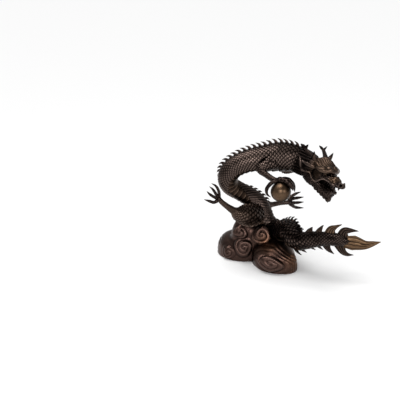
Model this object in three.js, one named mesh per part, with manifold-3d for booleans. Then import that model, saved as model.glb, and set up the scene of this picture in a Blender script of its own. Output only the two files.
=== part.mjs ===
// A cast dragon that rears over a plinth of rolled clouds and holds a pearl in one front claw.
// Millimetres, +Z up. The origin lies in the plinth's underside, -Y is the side that the face turns to
// and +X is the side that the tail points to.
import * as THREE from "three";
import { mergeVertices } from "three/addons/utils/BufferGeometryUtils.js";
import Module from "manifold-3d";

const wasm = await Module();
wasm.setup();

// The spine from the skull to the tail fin: where it runs, how thick the body is, where its crest points
const SPINE = [
  { place: "skull", at: [106, -82, 223], radius: 15, crest: [0.3, 0, 1] },
  { place: "nape", at: [90, -70, 228], radius: 19, crest: [0.2, 0, 1] },
  { place: "withers", at: [68, -59, 236.5], radius: 24, crest: [0, 0, 1] },
  { place: "chest", at: [42, -48, 236.5], radius: 27, crest: [0, 0, 1] },
  { place: "mid_back", at: [12, -42, 231.5], radius: 24.5, crest: [-0.15, 0, 1] },
  { place: "loin", at: [-15, -36, 226], radius: 21, crest: [-0.35, 0.1, 1] },
  { place: "bend_top", at: [-38, -30, 215], radius: 19.5, crest: [-0.6, 0.2, 0.8] },
  { place: "bend_out", at: [-53, -24, 201], radius: 19, crest: [-0.9, 0.3, 0.4] },
  { place: "bend_left", at: [-58, -17, 183], radius: 18.5, crest: [-0.75, 0.65, 0] },
  { place: "bend_low", at: [-52, -8, 165.5], radius: 17.8, crest: [-0.35, 0.9, -0.1] },
  { place: "rise", at: [-32, 2, 149.5], radius: 17.3, crest: [0.1, 0.95, 0.3] },
  { place: "saddle", at: [-11, 12, 134], radius: 18, crest: [0.5, 0.6, 0.65] },
  { place: "hip_top", at: [6, 20, 114], radius: 20, crest: [0.85, 0.35, 0.4] },
  { place: "hip", at: [15, 26, 92], radius: 20.5, crest: [0.75, 0.65, 0.2] },
  { place: "tail_dip", at: [25, 28, 71], radius: 19, crest: [0.6, 0.65, 0.5] },
  { place: "tail_turn", at: [43, 16, 59], radius: 18.5, crest: [0.35, 0.45, 0.85] },
  { place: "hump", at: [67, -13, 72.5], radius: 21, crest: [0.4, 0.15, 0.9] },
  { place: "hump_front", at: [73, -40, 68], radius: 20, crest: [0.55, 0, 0.8] },
  { place: "tail_root", at: [85, -54, 66], radius: 17.5, crest: [0.2, 0, 1] },
  { place: "tail_rise", at: [103, -62, 72], radius: 15.5, crest: [0, 0, 1] },
  { place: "tail_mid", at: [125, -70, 77.5], radius: 13, crest: [0, 0, 1] },
  { place: "tail_thin", at: [147, -76, 79], radius: 12, crest: [0, 0, 1] },
  { place: "fin_root", at: [164, -79.2, 77.5], radius: 10.5, crest: [0, 0, 1] },
  { place: "fin_middle", at: [176, -80.7, 76.3], radius: 2.5, crest: [0, 0, 1] },
];
const BODY_SIDES = 12;
const BODY_ROWS = 48;
// Raised scales, and the angle from the crest, in half turns, where the smooth belly plates begin
const SCALE_RISE = 1.1;
const BELLY_FROM = 0.72;

// Crest spikes: the stretch of the spine that has them, their spacing, and their heights along it. Each
// leans towards the tail, and the lean and the shoulder are shares of its width and height.
const CREST_SPAN = [0.058, 0.83];
const CREST_PITCH = 10.6;
const CREST_HEIGHTS = [8, 10, 7, 6.5, 6, 6, 6.5, 6, 6, 7.5, 8, 7];
const CREST_WIDTH = 10;
const CREST_THICK = 2.6;
const CREST_ROOT = 3;
const CREST_LEAN = 0.85;
const CREST_SHOULDER = 0.6;

// The pearl, and the gap that separate pieces keep
const PEARL_AT = [39.3, -88, 180.6];
const PEARL_RADIUS = 19.2;
const GAP = 0.4;

// Legs: points of the bone line with the radius there, the palm, and each toe's knuckles and claw tip
const NEAR_FORELEG = {
  line: [
    [40, -58, 230, 14], [18, -62, 227, 12], [2, -64, 217, 7.5], [11, -71, 209.5, 5.4], [30, -83, 201, 4.8],
  ],
  palm: [37, -85, 203],
  palmRadius: 6,
  toes: [
    [[22, -90, 199], [12.5, -91, 187], [13.5, -93, 177], [20.5, -95, 172]],
    [[52, -82, 203], [63, -84, 192], [65.5, -88, 180]],
    [[48, -92, 202], [55, -98, 195], [58.5, -99, 187]],
    [[40, -70, 200], [45, -62, 188], [46, -63, 174]],
  ],
};
const FAR_FORELEG = {
  line: [
    [40, -36, 228, 13], [46, -27, 214, 10], [52, -30, 205, 7], [68, -29, 205, 5.2], [84, -27, 207, 4.8],
  ],
  palm: [91, -26, 209],
  palmRadius: 5.5,
  toes: [
    [[102, -18, 218], [112, -12, 221]],
    [[105, -20, 213], [117, -16, 211]],
    [[102, -25, 206], [113, -22, 200]],
    [[95, -14, 209], [98, -4, 201]],
  ],
};
const NEAR_HIND_LEG = {
  line: [
    [4, 6, 101, 19], [-10, -8, 103, 22], [-24, -17, 107, 20], [-36, -22, 111, 14.5],
    [-46, -26, 119, 7], [-58, -30, 129, 5.4], [-68, -32, 138, 4.8],
  ],
  palm: [-75, -34, 146],
  palmRadius: 5.6,
  toes: [
    [[-75, -33, 160], [-81, -31, 172], [-90, -29, 177]],
    [[-82, -35, 159], [-88, -36, 168], [-94, -36, 173]],
    [[-86, -36, 152], [-94, -39, 159], [-99, -40, 165]],
    [[-84, -38, 141], [-94, -42, 145], [-104, -44, 149]],
  ],
};
const FAR_HIND_LEG = {
  line: [[14, 30, 100, 15], [24, 44, 103, 9], [38, 60, 100, 5], [56, 74, 98, 4.2]],
  palm: [75, 84, 96],
  palmRadius: 5,
  toes: [
    [[80, 90, 105], [91, 96, 111], [103, 100, 114]],
    [[83, 91, 101], [95, 98, 101], [110, 104, 101]],
    [[84, 90, 93], [96, 99, 90], [111, 106, 89]],
    [[83, 89, 88], [93, 97, 80], [111, 104, 76]],
  ],
};
const WRIST_SHARE = 0.8;
const TOE_RADII = [4.4, 3.9, 3.4, 0.8];

// The head: where its brow dome sits and how it is turned, in degrees. Its forms are given in its own
// frame, x to the muzzle, y to the far cheek and z to the crown; a pair is mirrored in y.
const HEAD_AT = [120, -92, 234];
const HEAD_YAW = 60;
const HEAD_PITCH = 20;
const HEAD_ROLL = 14;
// Sections from the nape to the lip, and from the throat to the chin: x, middle z, half width, half height
const UPPER_HEAD = [
  [-30, -15, 17, 13], [-20, -12, 19, 14], [-9, -5.5, 21.5, 17.5], [4, -5, 22.5, 16], [14, -5, 20.5, 13.5],
  [20.5, -6, 16.5, 10], [28, -11, 13.5, 7.5], [35, -11, 12, 8.5], [41, -10.5, 11.5, 8.5],
  [47, -12, 10.5, 5.5], [54, -9.5, 8.5, 5], [61, -7, 5, 4.4],
];
const LOWER_JAW = [
  [-34, -31, 18, 18], [-14, -34, 20, 18], [8, -36, 16.5, 12.5], [26, -38, 13, 8.5], [39, -37, 11, 9.5],
  [47.5, -36, 7.5, 7.5],
];
const MOUTH = { at: [22, 0, -24], size: [25, 9.5, 10] };
const HEAD_PAIRS = [
  { part: "brow", at: [14.5, 12.5, -1], size: [9, 10.5, 6] },
  { part: "eye", at: [20, 12.5, -8], size: [4.6, 4.6, 4.6] },
  { part: "cheek", at: [4, 13, -19], size: [14, 9, 12] },
];
const HORN_STEM = [[-18, 14, 0.5, 5.8], [-31, 20, 4, 4.2], [-42, 24, 6, 3.3]];
const HORN_TIPS = [[-56, 24, 6.5, 0.8], [-39.5, 25, 17, 0.8]];
const SPUR = [[-14, 16.5, -1, 5.4], [-17, 22, 8, 3.6], [-19, 25, 16.5, 0.6]];
const EAR = [[-5, 20, -9, 3], [-15, 29, -10, 5], [-28, 34, -12, 0.8]];
const WHISKER = [
  [52, 8, -11.5, 2], [46, 11, -13, 2], [35, 12.5, -13.5, 2], [26, 15.5, -14.5, 2], [21, 19.5, -18.5, 2],
  [18, 22.5, -24.5, 2], [13, 24.5, -27.5, 2], [6, 25.5, -26, 2], [-2.5, 26, -21.5, 1.6],
];
// The near whisker trails on along the neck
const WHISKER_TRAIL = [
  [-10, 27.5, -23, 2], [-16.5, 29, -26.5, 2], [-22, 31.5, -24.5, 2], [-27, 34.5, -16, 2], [-33, 36.5, -8, 1],
];
// One fang shows below the lip, on the near side
const FANG = [[56, -5, -8, 2.4], [57, -5.3, -13, 1.8], [58, -5.5, -16.5, 0.6]];
// Locks of the beard: the root of the hindmost, the step to the next, and the way from a root to its tip
const BEARD_LOCKS = 3;
const BEARD_FROM = [14, 10, -39];
const BEARD_STEP = [15, -3.5, -1.5];
const BEARD_FALL = [1, 0, -9.5];
// Locks of the mane run back from a ring round the skull to a wider ring round the neck, between the first
// and the last angle from the crown, in degrees, on the near and the far side
const MANE_LOCKS = 4;
const MANE_ROOT = { at: [-8, -3, -11], radius: 17 };
const MANE_TIP = { at: [-43, -18, -24], radius: 21 };
const MANE_ANGLES = { near: [30, 128], far: [75, 140] };
const LOCK_RADII = [5.8, 4.6, 0.8];
const LOCK_MIDDLE = 0.45;
const LOCK_BULGE = 1.1;

// The tail fin is flat and upright, along the tail's own line and on to its tip. Each lobe follows a line
// whose points are X, Z and half its width there.
const TAIL = SPINE.slice(SPINE.findIndex((station) => station.place === "hump_front"));
const FIN_PLANE_END = [245, -85];
const FIN_LOBES = [
  [[99, 80, 9], [102, 91, 5.5], [106, 99.5, 0.5]],
  [[116, 84, 8], [120, 96, 4.5], [126, 106.5, 0.5]],
  [[138, 86, 12], [141.5, 99, 8], [149, 105, 3.8], [160, 110.6, 0.5]],
  [[161, 83, 12], [166, 97, 8.5], [176, 99, 5], [192, 98, 0.5]],
  [[73, 54, 5], [80, 42, 3.5], [88.5, 36.6, 0.5]],
  [[84, 56, 5], [90, 48.5, 3.5], [97.5, 43.8, 0.5]],
  [[100, 62, 5], [106, 56.5, 3], [114, 52, 0.5]],
  [[114, 67, 6], [120, 60, 3], [127.7, 54.7, 0.5]],
  [[131, 70, 9], [138, 56.5, 5], [148.6, 48, 0.5]],
  [[157, 70, 11], [165, 54.5, 6.5], [173.5, 49, 4], [185.6, 48, 0.5]],
  [[160, 76, 11], [184, 73.3, 15.6], [206, 69.6, 9.5], [222, 73, 5.4], [236, 77, 0.5]],
];
const FIN_EDGE = 0.8;
const FIN_SWELL = 0.24;

// The plinth: boulders of cloud, and the scrolls that roll up on their fronts
const BOULDERS = [
  { part: "left", at: [-20, 44], size: [55, 52], height: 44, turn: -12 },
  { part: "right", at: [38, -12], size: [43, 56], height: 46, turn: 14 },
  { part: "corner", at: [57, -43], size: [26, 25], height: 36, turn: 0 },
  { part: "mound", at: [6, 30], size: [38, 34], height: 74, turn: 0 },
  { part: "shoulder", at: [-22, 26], size: [27, 25], height: 80, turn: 0 },
];
const BOULDER_PROFILE = [[0, 0], [0.97, 0], [1, 0.2], [0.95, 0.55], [0.74, 0.85], [0.4, 0.98], [0, 1]];
const BOULDER_SIDES = 11;
const SCROLLS = [
  { part: "low_left", at: [-52, 8, 16], size: [14, 14], facing: [-0.35, -0.9, 0.2] },
  { part: "low_middle", at: [-22, 0, 29], size: [19, 19], facing: [-0.1, -0.95, 0.3] },
  { part: "high_left", at: [-31, 9.5, 58], size: [17, 13], facing: [-0.25, -0.85, 0.5] },
  { part: "high_middle", at: [13, -2, 57], size: [19, 19], facing: [-0.05, -0.9, 0.45] },
  { part: "front", at: [28, -63, 22], size: [29, 17], facing: [-0.25, -0.95, 0.3] },
];
const SCROLL_DEPTH = 9;
const SCROLL_TURNS = 1.7;
const SCROLL_REACH = [0.9, 0.12];
const SCROLL_POINTS = 15;
const SCROLL_RIB = 2.4;
// Room that the plinth keeps round the haunches
const HAUNCH_GAP = 1;

// Facets around and along each kind of form
const HEAD_SIDES = 8;
const MOUTH_FACETS = [8, 5];
const PAIR_FACETS = [6, 4];
const BONE_FACETS = [6, 8];
const TOE_FACETS = [3, 3];
const HORN_FACETS = [5, 2];
const SPIKE_FACETS = [4, 1];
const LOCK_FACETS = [3, 2];
const WHISKER_FACETS = [3, 11];
const RIB_FACETS = [3, 8];
const DOME_FACETS = [8, 4];
const PEARL_FACETS = [14, 9];
const FIN_SIDES = 4;
const FIN_ROWS = 2;
const WELD = 1e-4;

const vec = (list) => new THREE.Vector3(list[0], list[1], list[2]);
const lerp = THREE.MathUtils.lerp;

// One closed body from a geometry
function solid(geometry) {
  geometry.deleteAttribute("normal");
  geometry.deleteAttribute("uv");
  const closed = mergeVertices(geometry, WELD);
  return new wasm.Manifold(new wasm.Mesh({
    numProp: 3,
    vertProperties: new Float32Array(closed.attributes.position.array),
    triVerts: new Uint32Array(closed.index.array),
  }));
}

const join = (pieces) => pieces.reduce((whole, piece) => whole.add(piece));

// A closed tube: place gives the point for a row along it, an angle around it and a share of its radius
function tube(sides, rows, place) {
  const geometry = new THREE.CylinderGeometry(1, 1, 1, sides, rows);
  const points = geometry.attributes.position;
  for (let i = 0; i < points.count; i += 1) {
    const unit = new THREE.Vector3().fromBufferAttribute(points, i);
    const row = Math.round((unit.y + 0.5) * rows);
    const spot = place(row, Math.atan2(unit.x, unit.z), Math.hypot(unit.x, unit.z));
    points.setXYZ(i, spot.x, spot.y, spot.z);
  }
  return solid(geometry);
}

// Reads a list of numbers at a place between 0 and 1
function read(list, along) {
  const station = along * (list.length - 1);
  const index = Math.min(Math.floor(station), list.length - 2);
  return lerp(list[index], list[index + 1], station - index);
}

// A round tapering limb, horn or lock: each point of its line is x, y, z and the radius there
function limb(line, [sides, rows], grow = 0) {
  const curve = new THREE.CatmullRomCurve3(line.map(vec), false, "centripetal");
  const frames = curve.computeFrenetFrames(rows, false);
  const radii = line.map((point) => point[3] + grow);
  return tube(sides, rows, (row, angle, share) => {
    const along = row / rows;
    const radius = read(radii, curve.getUtoTmapping(along)) * share;
    return curve.getPointAt(along)
      .addScaledVector(frames.binormals[row], radius * Math.sin(angle))
      .addScaledVector(frames.normals[row], radius * Math.cos(angle));
  });
}

function ellipsoid(at, size, [sides, rows], turn = new THREE.Matrix4()) {
  const geometry = new THREE.SphereGeometry(1, sides, rows);
  geometry.scale(size[0], size[1], size[2]);
  geometry.translate(at[0], at[1], at[2]);
  return solid(geometry.applyMatrix4(turn));
}

// The spine as a curve, with the crest's direction square to it
const spine = new THREE.CatmullRomCurve3(SPINE.map((station) => vec(station.at)), false, "centripetal");
spine.arcLengthDivisions = 1000;

function spineFrame(along) {
  const share = spine.getUtoTmapping(along);
  const pick = (axis) => read(SPINE.map((station) => station.crest[axis]), share);
  const onward = spine.getTangent(share);
  const crest = new THREE.Vector3(pick(0), pick(1), pick(2));
  crest.addScaledVector(onward, -crest.dot(onward)).normalize();
  return {
    at: spine.getPoint(share),
    radius: read(SPINE.map((station) => station.radius), share),
    onward,
    crest,
    side: new THREE.Vector3().crossVectors(onward, crest),
  };
}

// The body: rows of raised scales round the back, and plates across the belly
function body(grow) {
  return tube(BODY_SIDES, BODY_ROWS, (row, angle, share) => {
    const frame = spineFrame(row / BODY_ROWS);
    const side = Math.round((angle / (2 * Math.PI)) * BODY_SIDES);
    const belly = Math.abs(angle) > BELLY_FROM * Math.PI;
    const raised = grow > 0 || (belly ? row % 2 === 0 : (row + side) % 2 === 0);
    const radius = (frame.radius + grow + (raised ? SCALE_RISE : 0)) * share;
    return frame.at
      .addScaledVector(frame.side, radius * Math.sin(angle))
      .addScaledVector(frame.crest, radius * Math.cos(angle));
  });
}

// One crest spike, hooked towards the tail
function crestSpike(along, height) {
  const frame = spineFrame(along);
  const shape = new THREE.Shape();
  shape.moveTo(-0.5 * CREST_WIDTH, -CREST_ROOT);
  shape.lineTo(0.5 * CREST_WIDTH, -CREST_ROOT);
  shape.lineTo(CREST_LEAN * CREST_WIDTH, height);
  shape.lineTo(0, CREST_SHOULDER * height);
  const geometry = new THREE.ExtrudeGeometry(shape, { depth: CREST_THICK, bevelEnabled: false });
  geometry.translate(0, frame.radius, -CREST_THICK / 2);
  const turn = new THREE.Matrix4().makeBasis(frame.onward, frame.crest, frame.side);
  return solid(geometry.applyMatrix4(turn.setPosition(frame.at)));
}

function crest() {
  const run = (CREST_SPAN[1] - CREST_SPAN[0]) * spine.getLength();
  const count = Math.round(run / CREST_PITCH);
  const spikes = [];
  for (let i = 0; i <= count; i += 1) {
    const along = lerp(CREST_SPAN[0], CREST_SPAN[1], i / count);
    spikes.push(crestSpike(along, read(CREST_HEIGHTS, i / count)));
  }
  return join(spikes);
}

// One clawed toe from the palm over its knuckles to its tip
function toe(palm, points) {
  const line = [palm, ...points];
  return limb(line.map((spot, i) => [...spot, read(TOE_RADII, i / points.length)]), TOE_FACETS);
}

function leg({ line, palm, palmRadius, toes }) {
  const bone = limb([...line, [...palm, palmRadius * WRIST_SHARE]], BONE_FACETS);
  const hand = ellipsoid(palm, Array(3).fill(palmRadius), PAIR_FACETS);
  return join([bone, hand, ...toes.map((points) => toe(palm, points))]);
}

// The head's own frame
const headTurn = new THREE.Euler(
  THREE.MathUtils.degToRad(-HEAD_ROLL),
  THREE.MathUtils.degToRad(HEAD_PITCH),
  THREE.MathUtils.degToRad(-HEAD_YAW),
  "ZYX",
);
const headMatrix = new THREE.Matrix4().makeRotationFromEuler(headTurn).setPosition(vec(HEAD_AT));

function headLimb(line, side, facets) {
  const placed = line.map(([x, y, z, radius]) => {
    const spot = new THREE.Vector3(x, y * side, z).applyMatrix4(headMatrix);
    return [...spot.toArray(), radius];
  });
  return limb(placed, facets);
}

// A lock of hair from its root to its tip, with its middle pushed out to the near or the far side
function lock(root, tip, side) {
  const middle = root.map((value, axis) => lerp(value, tip[axis], LOCK_MIDDLE));
  middle[1] += LOCK_BULGE * side;
  return headLimb([root, middle, tip].map((spot, i) => [...spot, LOCK_RADII[i]]), 1, LOCK_FACETS);
}

function mane(side) {
  const locks = [];
  const angles = side < 0 ? MANE_ANGLES.near : MANE_ANGLES.far;
  for (let i = 0; i < MANE_LOCKS; i += 1) {
    const angle = THREE.MathUtils.degToRad(read(angles, i / (MANE_LOCKS - 1)));
    const onRing = ({ at: [x, y, z], radius }) => [
      x, y + radius * Math.sin(angle) * side, z + radius * Math.cos(angle),
    ];
    locks.push(lock(onRing(MANE_ROOT), onRing(MANE_TIP), side));
  }
  return join(locks);
}

function beard(side) {
  const locks = [];
  for (let i = 0; i < BEARD_LOCKS; i += 1) {
    const root = BEARD_FROM.map((value, axis) => value + i * BEARD_STEP[axis]);
    root[1] *= side;
    const tip = root.map((value, axis) => value + BEARD_FALL[axis]);
    locks.push(lock(root, tip, side));
  }
  return join(locks);
}

// A form of the head that runs through its sections
function headLoft(sections) {
  return tube(HEAD_SIDES, sections.length - 1, (row, angle, share) => {
    const [x, z, width, height] = sections[row];
    const across = -width * share * Math.sin(angle);
    const up = z + height * share * Math.cos(angle);
    return new THREE.Vector3(x, across, up).applyMatrix4(headMatrix);
  });
}

function head() {
  const mouth = ellipsoid(MOUTH.at, MOUTH.size, MOUTH_FACETS, headMatrix);
  const fang = headLimb(FANG, 1, SPIKE_FACETS);
  const pieces = [headLoft(UPPER_HEAD), headLoft(LOWER_JAW), mouth, fang];
  for (const side of [-1, 1]) {
    for (const form of HEAD_PAIRS) {
      const at = [form.at[0], form.at[1] * side, form.at[2]];
      pieces.push(ellipsoid(at, form.size, PAIR_FACETS, headMatrix));
    }
    const fork = HORN_STEM[HORN_STEM.length - 1];
    pieces.push(headLimb(HORN_STEM, side, HORN_FACETS));
    for (const tip of HORN_TIPS) {
      pieces.push(headLimb([fork, tip], side, SPIKE_FACETS));
    }
    pieces.push(headLimb(SPUR, side, SPIKE_FACETS));
    pieces.push(headLimb(EAR, side, LOCK_FACETS));
    const whisker = side < 0 ? [...WHISKER, ...WHISKER_TRAIL] : WHISKER;
    pieces.push(headLimb(whisker, side, WHISKER_FACETS));
    pieces.push(mane(side));
    pieces.push(beard(side));
  }
  return join(pieces);
}

// The tail fin's plane follows the tail's line, seen from above
function finY(x) {
  const line = [...TAIL.map((station) => station.at), FIN_PLANE_END];
  const next = line.findIndex((at, i) => i > 0 && at[0] >= x);
  const [from, to] = [line[next - 1], line[next]];
  return lerp(from[1], to[1], (x - from[0]) / (to[0] - from[0]));
}

// One flame lobe of the tail fin: a leaf that is thickest along its middle
function finLobe(line) {
  const middle = line.map(([x, z]) => new THREE.Vector3(x, 0, z));
  const curve = new THREE.CatmullRomCurve3(middle, false, "centripetal");
  const widths = line.map((point) => point[2]);
  const rows = FIN_ROWS * (line.length - 1);
  return tube(FIN_SIDES, rows, (row, angle, share) => {
    const place = curve.getUtoTmapping(row / rows);
    const onward = curve.getTangent(place);
    const width = read(widths, place) * share;
    const spot = curve.getPoint(place);
    spot.x += width * Math.cos(angle) * onward.z;
    spot.z -= width * Math.cos(angle) * onward.x;
    spot.y = finY(spot.x) + (FIN_EDGE + FIN_SWELL * width) * share * Math.sin(angle);
    return spot;
  });
}

const tailFin = () => join(FIN_LOBES.map(finLobe));

// A boulder of cloud: a round profile, stretched and turned
function boulder({ at, size, height, turn }) {
  const profile = BOULDER_PROFILE.map(([reach, rise]) => new THREE.Vector2(reach, rise));
  const geometry = new THREE.LatheGeometry(profile, BOULDER_SIDES);
  geometry.rotateX(Math.PI / 2);
  geometry.scale(size[0], size[1], height);
  geometry.rotateZ(THREE.MathUtils.degToRad(turn));
  geometry.translate(at[0], at[1], 0);
  return solid(geometry);
}

// A scroll: a low dome that faces outwards, with a spiral rib that rolls in to its middle
function scroll({ at, size, facing }) {
  const out = vec(facing).normalize();
  const across = new THREE.Vector3(0, 0, 1).cross(out).normalize();
  const up = new THREE.Vector3().crossVectors(out, across);
  const turn = new THREE.Matrix4().makeBasis(across, up, out).setPosition(vec(at));
  const dome = ellipsoid([0, 0, 0], [...size, SCROLL_DEPTH], DOME_FACETS, turn);
  const rib = [];
  for (let i = 0; i < SCROLL_POINTS; i += 1) {
    const along = i / (SCROLL_POINTS - 1);
    const reach = read(SCROLL_REACH, along);
    const angle = along * SCROLL_TURNS * 2 * Math.PI;
    const rise = Math.sqrt(1 - reach * reach);
    const spot = new THREE.Vector3(reach * Math.cos(angle), reach * Math.sin(angle), rise);
    spot.multiply(vec([...size, SCROLL_DEPTH])).applyMatrix4(turn);
    rib.push([...spot.toArray(), SCROLL_RIB]);
  }
  return dome.add(limb(rib, RIB_FACETS));
}

function mesh(name, whole, material) {
  const { vertProperties, triVerts } = whole.getMesh();
  const geometry = new THREE.BufferGeometry();
  geometry.setAttribute("position", new THREE.BufferAttribute(vertProperties, 3));
  geometry.setIndex(new THREE.BufferAttribute(triVerts, 1));
  geometry.computeVertexNormals();
  const piece = new THREE.Mesh(geometry, new THREE.MeshStandardMaterial(material));
  piece.name = name;
  return piece;
}

const pearlBall = (grow) => ellipsoid(PEARL_AT, Array(3).fill(PEARL_RADIUS + grow), PEARL_FACETS);

const legs = [NEAR_FORELEG, FAR_FORELEG, NEAR_HIND_LEG, FAR_HIND_LEG].map(leg);
const dragon = join([body(0), crest(), ...legs, head(), tailFin()]).subtract(pearlBall(GAP));
const haunches = [NEAR_HIND_LEG, FAR_HIND_LEG].map(({ line }) => limb(line, BONE_FACETS, HAUNCH_GAP));
const saddle = join([body(GAP), ...haunches]);
const plinth = join([...BOULDERS.map(boulder), ...SCROLLS.map(scroll)]).subtract(saddle);

const sculpture = new THREE.Group();
sculpture.add(
  mesh("dragon", dragon, { color: 0x3a2a22, roughness: 0.45, metalness: 0.85 }),
  mesh("pearl", pearlBall(0), { color: 0x8a5a34, roughness: 0.2, metalness: 0.8 }),
  mesh("cloud_plinth", plinth, { color: 0x4a2e22, roughness: 0.4, metalness: 0.85 }),
);

export default sculpture;
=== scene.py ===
"""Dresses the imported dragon: a scaled, rubbed bronze casting over a plinth of rolled clouds, with its pearl.

Lengths are millimetres in the part's own frame, and become metres when a mesh is made.
"""

import bpy
import numpy as np
import openvdb
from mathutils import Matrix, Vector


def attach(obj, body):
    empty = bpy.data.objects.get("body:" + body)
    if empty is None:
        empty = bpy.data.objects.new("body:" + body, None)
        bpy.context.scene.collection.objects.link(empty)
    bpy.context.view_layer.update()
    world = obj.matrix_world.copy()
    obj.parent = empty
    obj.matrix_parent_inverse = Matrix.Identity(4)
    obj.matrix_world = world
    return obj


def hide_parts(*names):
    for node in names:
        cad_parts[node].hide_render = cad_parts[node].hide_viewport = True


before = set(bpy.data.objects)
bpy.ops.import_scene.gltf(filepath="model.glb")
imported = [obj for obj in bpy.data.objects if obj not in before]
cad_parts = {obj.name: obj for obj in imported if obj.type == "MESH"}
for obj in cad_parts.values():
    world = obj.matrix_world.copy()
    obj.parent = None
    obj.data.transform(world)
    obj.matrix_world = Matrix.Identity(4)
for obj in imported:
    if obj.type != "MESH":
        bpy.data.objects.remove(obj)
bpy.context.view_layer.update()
METRES = 0.001

# The spine from the skull to the tail fin: where it runs, the body's radius, and where its crest points
SPINE = [
    ((106, -82, 223), 15, (0.3, 0, 1)),
    ((90, -70, 228), 19, (0.2, 0, 1)),
    ((68, -59, 236.5), 24, (0, 0, 1)),
    ((42, -48, 236.5), 27, (0, 0, 1)),
    ((12, -42, 231.5), 24.5, (-0.15, 0, 1)),
    ((-15, -36, 226), 21, (-0.35, 0.1, 1)),
    ((-38, -30, 215), 19.5, (-0.6, 0.2, 0.8)),
    ((-53, -24, 201), 19, (-0.9, 0.3, 0.4)),
    ((-58, -17, 183), 18.5, (-0.75, 0.65, 0)),
    ((-52, -8, 165.5), 17.8, (-0.35, 0.9, -0.1)),
    ((-32, 2, 149.5), 17.3, (0.1, 0.95, 0.3)),
    ((-11, 12, 134), 18, (0.5, 0.6, 0.65)),
    ((6, 20, 114), 20, (0.85, 0.35, 0.4)),
    ((15, 26, 92), 20.5, (0.75, 0.65, 0.2)),
    ((25, 28, 71), 19, (0.6, 0.65, 0.5)),
    ((43, 16, 59), 18.5, (0.35, 0.45, 0.85)),
    ((67, -13, 72.5), 21, (0.4, 0.15, 0.9)),
    ((73, -40, 68), 20, (0.55, 0, 0.8)),
    ((85, -54, 66), 17.5, (0.2, 0, 1)),
    ((103, -62, 72), 15.5, (0, 0, 1)),
    ((125, -70, 77.5), 13, (0, 0, 1)),
    ((147, -76, 79), 12, (0, 0, 1)),
    ((164, -79.2, 77.5), 10.5, (0, 0, 1)),
    ((176, -80.7, 76.3), 2.5, (0, 0, 1)),
]
TAIL_FROM = 17

# Scales: how many go round, where the tail's own begin, and the share of the girth that has them
BODY_SCALES, TAIL_SCALES = 15, 10
TAIL_SCALES_FROM, SCALES_OVERLAP = 0.585, 6
BODY_SCALED = 0.72
# A scale's columns of points, then shares of its width or its row, and the least row
SCALE_COLUMNS = 4
SCALE_ROW = 0.52
SCALE_TIP = 0.92
SCALE_EDGE = 0.07
SCALE_RISE = 0.24
SCALE_CORNER = 0.06
LEAST_ROW = 2.3
READINGS_PER_MM = 4
# How unevenly scales are rubbed on the body and on the tail, and how that swings by row and by place
BODY_SHADE, TAIL_SHADE = 0.2, 0.75
SHADE_BY_ROW, SHADE_BY_PLACE = 12.9, 78.2
# Belly plates: columns of points, rise, rows of scales beside each, how golden and how rubbed
BELLY_COLUMNS = 8
BELLY_RISE = 1.8
BELLY_ROWS = 4
BELLY_TONE = 0.3
BELLY_RELIEF = 0.34
BELLY_LEAST = 0.15

# Crest spikes: the stretch of the spine that has them, their spacing on the ridge, and their heights along it
CREST_SPAN = (0.0842, 0.83)
CREST_PITCH = 10.5
CREST_HEIGHTS = (9, 10.2, 8.5, 7.5, 6.5, 6, 6.5, 6, 6, 7.5, 8, 7)
CREST_WIDTH = 8.6
CREST_THICK = 1.5
CREST_ROOT = 3
CREST_RELIEF = 0.35
# A spike's line and half width, in shares of its width, height and width
CREST_LINE = ((-0.05, -0.3, 0.46), (0.02, 0.2, 0.42), (0.24, 0.62, 0.26), (0.98, 1, 0.02))

PEARL_AT = (39.3, -88, 180.6)
PEARL_RADIUS = 19.2
# The room for the pearl in the claw
GAP = 0.4

# Legs: points of the bone line with the radius there, the palm, each toe's knuckles and claw tip, how many
# scales go round, and where it matters the toes' girths, how golden it is, and painted light that lightens it
# between its scales where it lies in the body's shade
NEAR_FORELEG = {
    "line": [
        (40, -58, 230, 14), (18, -62, 227, 12), (2, -64, 217, 7.5), (11, -71, 209.5, 5.4),
        (30, -83, 201, 4.8),
    ],
    "palm": (37, -85, 203),
    "palm_radius": 6,
    "toes": [
        [(22, -90, 199), (12.5, -91, 187), (13.5, -93, 177), (20.5, -95, 172)],
        [(52, -82, 203), (63, -84, 192), (65.5, -88, 180)],
        [(49, -92, 202), (57, -97, 195), (61, -98, 186)],
        [(40, -70, 200), (45, -62, 188), (46, -63, 174)],
    ],
    "girths": (1.1, 1.2, 1.5, 1),
    "scales": 11,
}
FAR_FORELEG = {
    "line": [
        (40, -36, 228, 13), (46, -27, 214, 10), (52, -30, 205, 7), (68, -29, 205, 5.2), (84, -27, 207, 4.8),
    ],
    "palm": (91, -26, 209),
    "palm_radius": 5.5,
    "toes": [
        [(102, -18, 218), (112, -12, 221)],
        [(105, -20, 213), (117, -16, 211)],
        [(102, -25, 206), (113, -22, 200)],
        [(95, -14, 209), (98, -4, 201)],
    ],
    "scales": 9,
}
NEAR_HIND_LEG = {
    "line": [
        (4, 6, 101, 19), (-10, -8, 103, 22), (-24, -17, 107, 20), (-36, -22, 111, 14.5),
        (-46, -26, 119, 7), (-58, -30, 129, 5.4), (-68, -32, 138, 4.8),
    ],
    "palm": (-75, -34, 146),
    "palm_radius": 5.6,
    "toes": [
        [(-75, -33, 160), (-81, -31, 172), (-90, -29, 177)],
        [(-82, -35, 159), (-88, -36, 168), (-94, -36, 173)],
        [(-86, -36, 152), (-94, -39, 159), (-99, -40, 165)],
        [(-84, -38, 141), (-94, -42, 145), (-104, -44, 149)],
    ],
    "girths": (0.85, 0.85, 0.85, 0.92),
    "scales": 14,
    "tone": 0.15,
    # Painted light: the near thigh lies in the body's shade and is painted lighter between its scales
    "lift": 0.25,
}
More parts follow.
